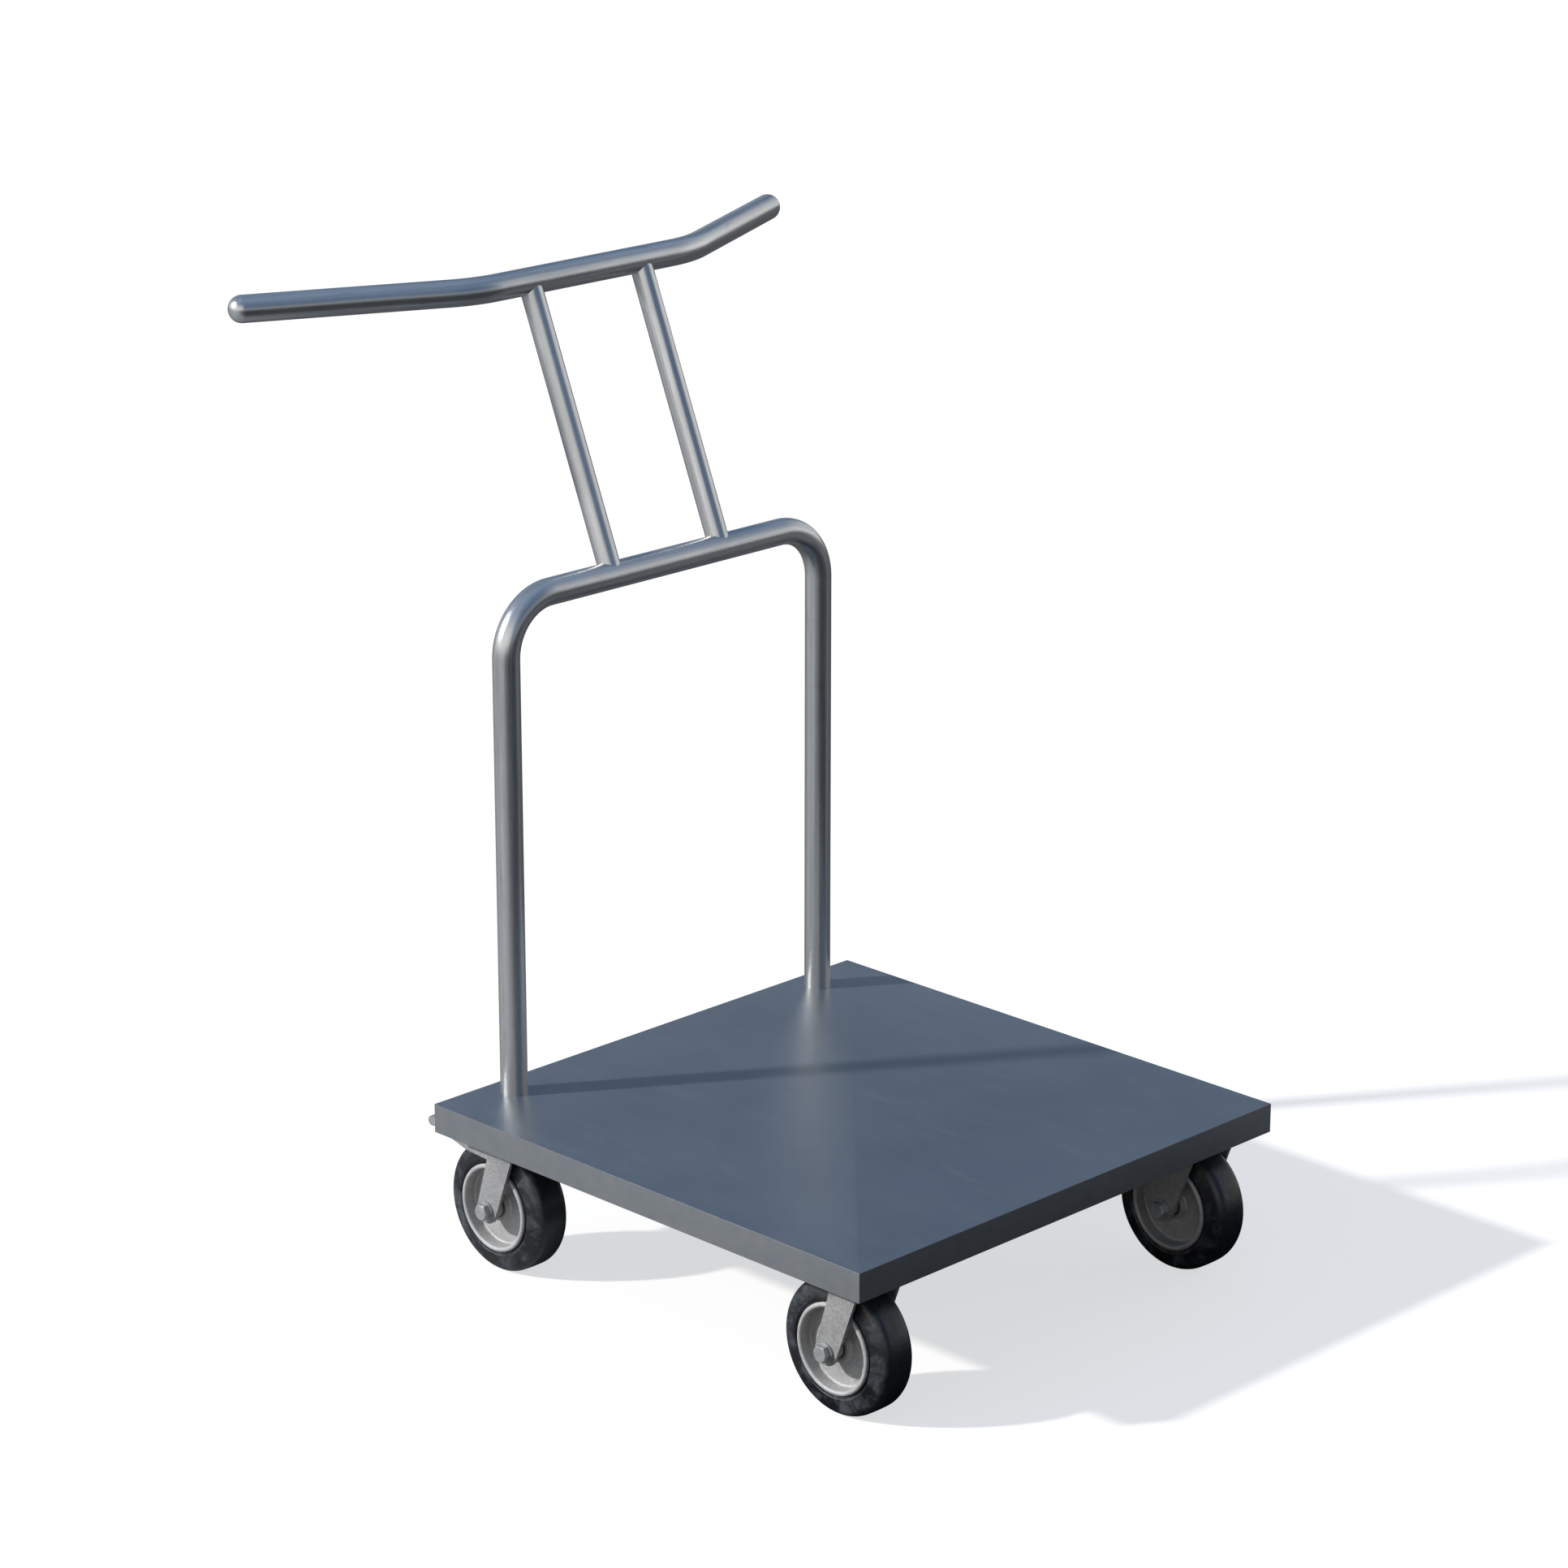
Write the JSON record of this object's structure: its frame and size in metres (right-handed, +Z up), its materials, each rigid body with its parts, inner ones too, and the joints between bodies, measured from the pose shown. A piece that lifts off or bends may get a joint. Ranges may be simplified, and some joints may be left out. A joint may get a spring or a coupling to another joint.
{
  "type": "airport luggage trolley",
  "caption": "Flat-deck luggage trolley: painted steel deck on swivel castors, U-shaped tube push frame with risers and swept-back handlebar, foot brakes on the rear castors.",
  "frame": {"origin": "on the floor, below the middle of the whole trolley's box", "axes": "+X is the way it is pushed, +Y is the pusher's left, +Z is up"},
  "size_m": [0.917, 0.8606, 1.1365],
  "materials": {
    "deck_paint": "satin slate-blue paint",
    "brushed_tube": "brushed along the tube",
    "cap_steel": "satin",
    "fork_zinc": "dull scratched zinc",
    "rim_zinc": "dull light zinc",
    "bright_zinc": "bright zinc",
    "ball_steel": "polished",
    "bearing_bronze": "plain",
    "tyre_rubber": "smooth worn rubber",
    "shoe_rubber": "matt"
  },
  "bodies": {
    "root": {"deck_tray": "deck_paint", "front_crossmember": "deck_paint", "rear_crossmember": "deck_paint", "left_stiffener": "deck_paint", "right_stiffener": "deck_paint", "castor_plate_bolts": "bright_zinc", "push_frame": "brushed_tube", "left_riser": "brushed_tube", "right_riser": "brushed_tube", "handlebar": "brushed_tube", "left_handle_cap": "cap_steel", "right_handle_cap": "cap_steel", "front_left_top_plate": "fork_zinc", "front_left_king_bolt": "bright_zinc", "front_right_top_plate": "fork_zinc", "front_right_king_bolt": "bright_zinc", "rear_left_top_plate": "fork_zinc", "rear_left_king_bolt": "bright_zinc", "rear_right_top_plate": "fork_zinc", "rear_right_king_bolt": "bright_zinc"},
    "front_left_castor": {"front_left_fork": "fork_zinc", "front_left_swivel_balls": "ball_steel", "front_left_axle_bolt": "bright_zinc", "front_left_axle_sleeve": "bright_zinc"},
    "front_left_wheel": {"front_left_hub_bearing": "bearing_bronze", "front_left_rim": "rim_zinc", "front_left_tyre": "tyre_rubber"},
    "front_right_castor": {"front_right_fork": "fork_zinc", "front_right_swivel_balls": "ball_steel", "front_right_axle_bolt": "bright_zinc", "front_right_axle_sleeve": "bright_zinc"},
    "front_right_wheel": {"front_right_hub_bearing": "bearing_bronze", "front_right_rim": "rim_zinc", "front_right_tyre": "tyre_rubber"},
    "rear_left_castor": {"rear_left_fork": "fork_zinc", "rear_left_swivel_balls": "ball_steel", "rear_left_axle_bolt": "bright_zinc", "rear_left_axle_sleeve": "bright_zinc", "rear_left_brake_pivots": "bright_zinc", "rear_left_brake_spring_washers": "ball_steel"},
    "rear_left_wheel": {"rear_left_hub_bearing": "bearing_bronze", "rear_left_rim": "rim_zinc", "rear_left_tyre": "tyre_rubber"},
    "rear_left_brake": {"rear_left_brake_lever": "fork_zinc", "rear_left_brake_shoe": "shoe_rubber"},
    "rear_right_castor": {"rear_right_fork": "fork_zinc", "rear_right_swivel_balls": "ball_steel", "rear_right_axle_bolt": "bright_zinc", "rear_right_axle_sleeve": "bright_zinc", "rear_right_brake_pivots": "bright_zinc", "rear_right_brake_spring_washers": "ball_steel"},
    "rear_right_wheel": {"rear_right_hub_bearing": "bearing_bronze", "rear_right_rim": "rim_zinc", "rear_right_tyre": "tyre_rubber"},
    "rear_right_brake": {"rear_right_brake_lever": "fork_zinc", "rear_right_brake_shoe": "shoe_rubber"}
  },
  "joints": [
    {"name": "front_left_swivel", "type": "hinge", "parent": "root", "child": "front_left_castor", "pos_m": [0.40248, 0.279, 0.176], "axis": [0, 0, 1], "continuous": true},
    {"name": "front_left_wheel_spin", "type": "hinge", "parent": "front_left_castor", "child": "front_left_wheel", "pos_m": [0.37848, 0.279, 0.08], "axis": [0, 1, 0], "continuous": true},
    {"name": "front_right_swivel", "type": "hinge", "parent": "root", "child": "front_right_castor", "pos_m": [0.40248, -0.279, 0.176], "axis": [0, 0, 1], "continuous": true},
    {"name": "front_right_wheel_spin", "type": "hinge", "parent": "front_right_castor", "child": "front_right_wheel", "pos_m": [0.37848, -0.279, 0.08], "axis": [0, 1, 0], "continuous": true},
    {"name": "rear_left_swivel", "type": "hinge", "parent": "root", "child": "rear_left_castor", "pos_m": [-0.14952, 0.279, 0.176], "axis": [0, 0, 1], "continuous": true},
    {"name": "rear_left_wheel_spin", "type": "hinge", "parent": "rear_left_castor", "child": "rear_left_wheel", "pos_m": [-0.17352, 0.279, 0.08], "axis": [0, 1, 0], "continuous": true},
    {"name": "rear_left_brake_pedal", "type": "hinge", "parent": "rear_left_castor", "child": "rear_left_brake", "pos_m": [-0.14952, 0.279, 0.15], "axis": [0, -1, 0], "range_deg": [0, 9]},
    {"name": "rear_right_swivel", "type": "hinge", "parent": "root", "child": "rear_right_castor", "pos_m": [-0.14952, -0.279, 0.176], "axis": [0, 0, 1], "continuous": true},
    {"name": "rear_right_wheel_spin", "type": "hinge", "parent": "rear_right_castor", "child": "rear_right_wheel", "pos_m": [-0.17352, -0.279, 0.08], "axis": [0, 1, 0], "continuous": true},
    {"name": "rear_right_brake_pedal", "type": "hinge", "parent": "rear_right_castor", "child": "rear_right_brake", "pos_m": [-0.14952, -0.279, 0.15], "axis": [0, -1, 0], "range_deg": [0, 9]}
  ]
}
